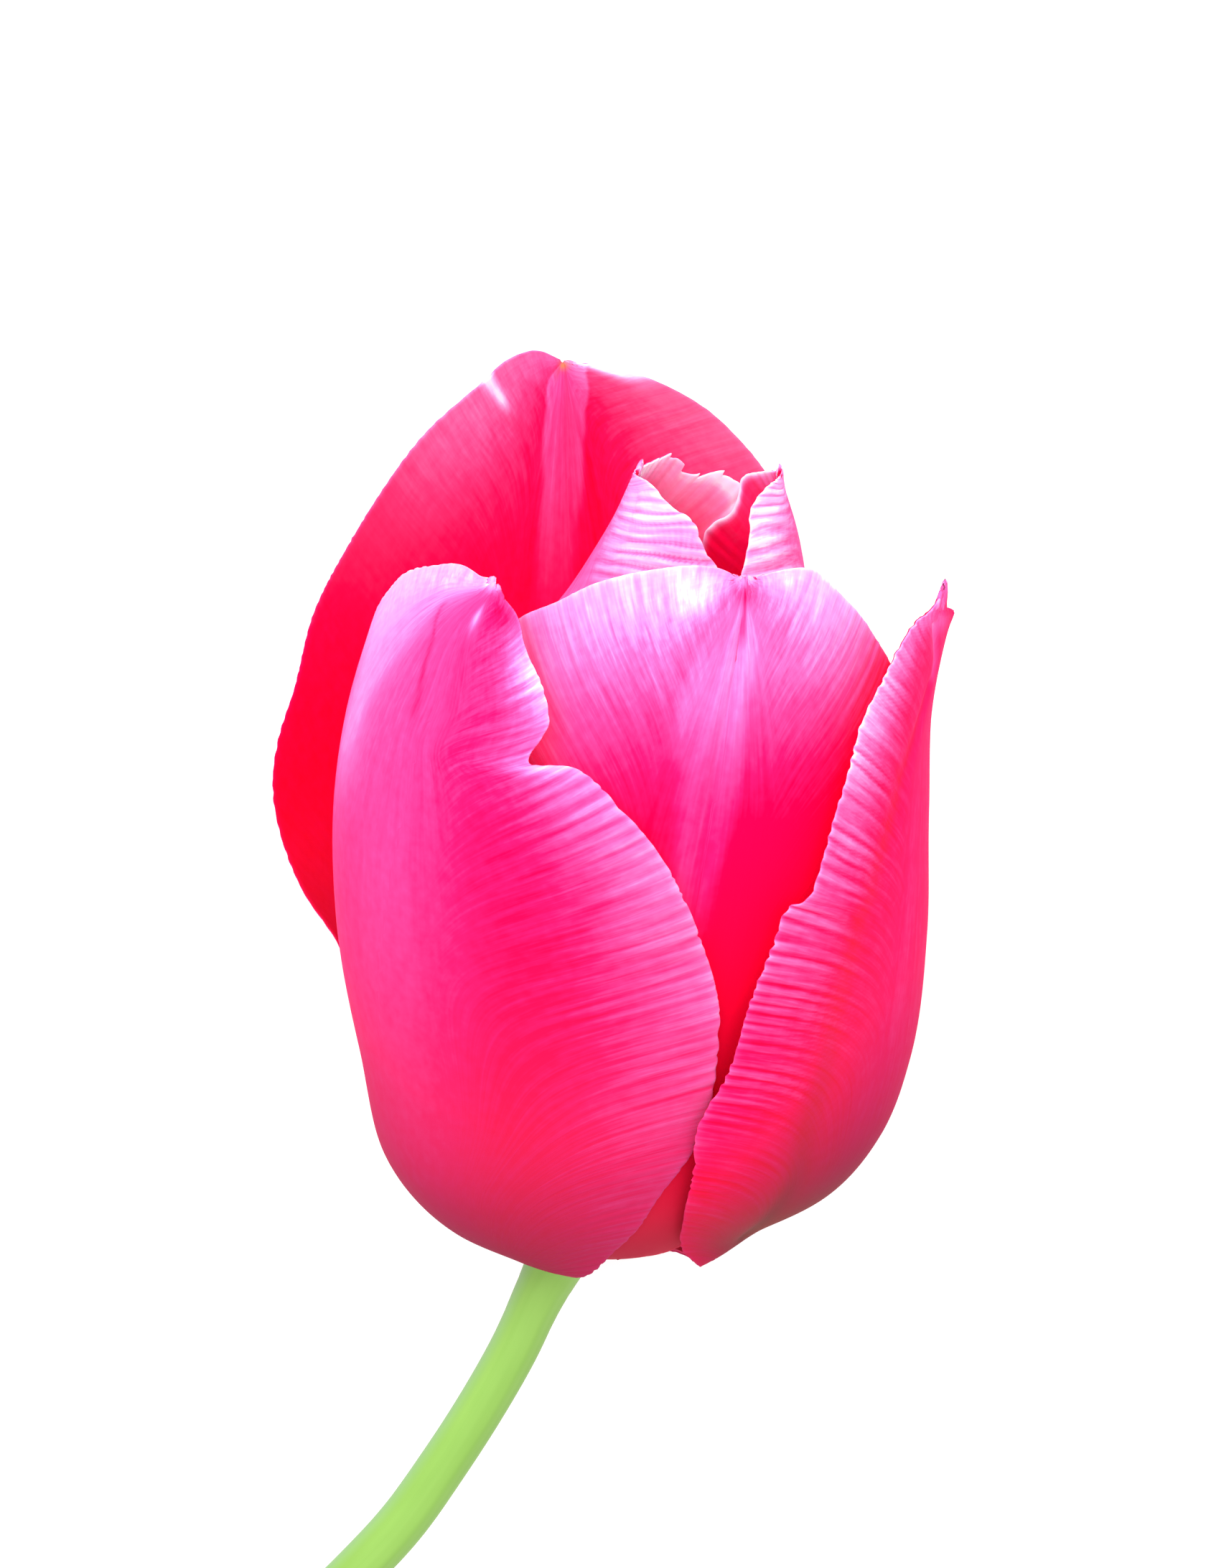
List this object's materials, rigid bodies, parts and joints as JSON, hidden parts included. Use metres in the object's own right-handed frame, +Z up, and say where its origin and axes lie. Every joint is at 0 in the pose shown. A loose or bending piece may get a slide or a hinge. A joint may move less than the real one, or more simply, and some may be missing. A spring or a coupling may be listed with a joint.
{
  "type": "cut tulip",
  "caption": "Cut tulip lying on its side: a full, half-open bloom of broad pink petals with pale, wrinkled margins on a bare, curved green stem.",
  "frame": {"origin": "Middle of the part's bounding box, on the surface that the flower lies on.", "axes": "+Z is up, away from the surface. +Y runs from the cut end of the stem towards the tips of the petals and is the longest extent. +X is to the flower's right, seen from above with the petals pointing up."},
  "size_m": [0.1176, 0.205, 0.0631],
  "materials": {
    "petal": "soft satin, deep pink with fine veins, paling to white at the wrinkled margins; redder inside",
    "stem": "smooth matt pale green with a faint bloom",
    "pistil": "matt pale green with a cream stigma",
    "stamens": "powdery dark anthers on pale filaments"
  },
  "bodies": {
    "root": {"stem": "stem", "petal_back": "petal", "petal_front_left": "petal", "petal_front_right": "petal", "petal_inner_front": "petal", "petal_inner_left": "petal", "petal_inner_right": "petal", "pistil": "pistil", "stamens": "stamens"}
  },
  "joints": []
}
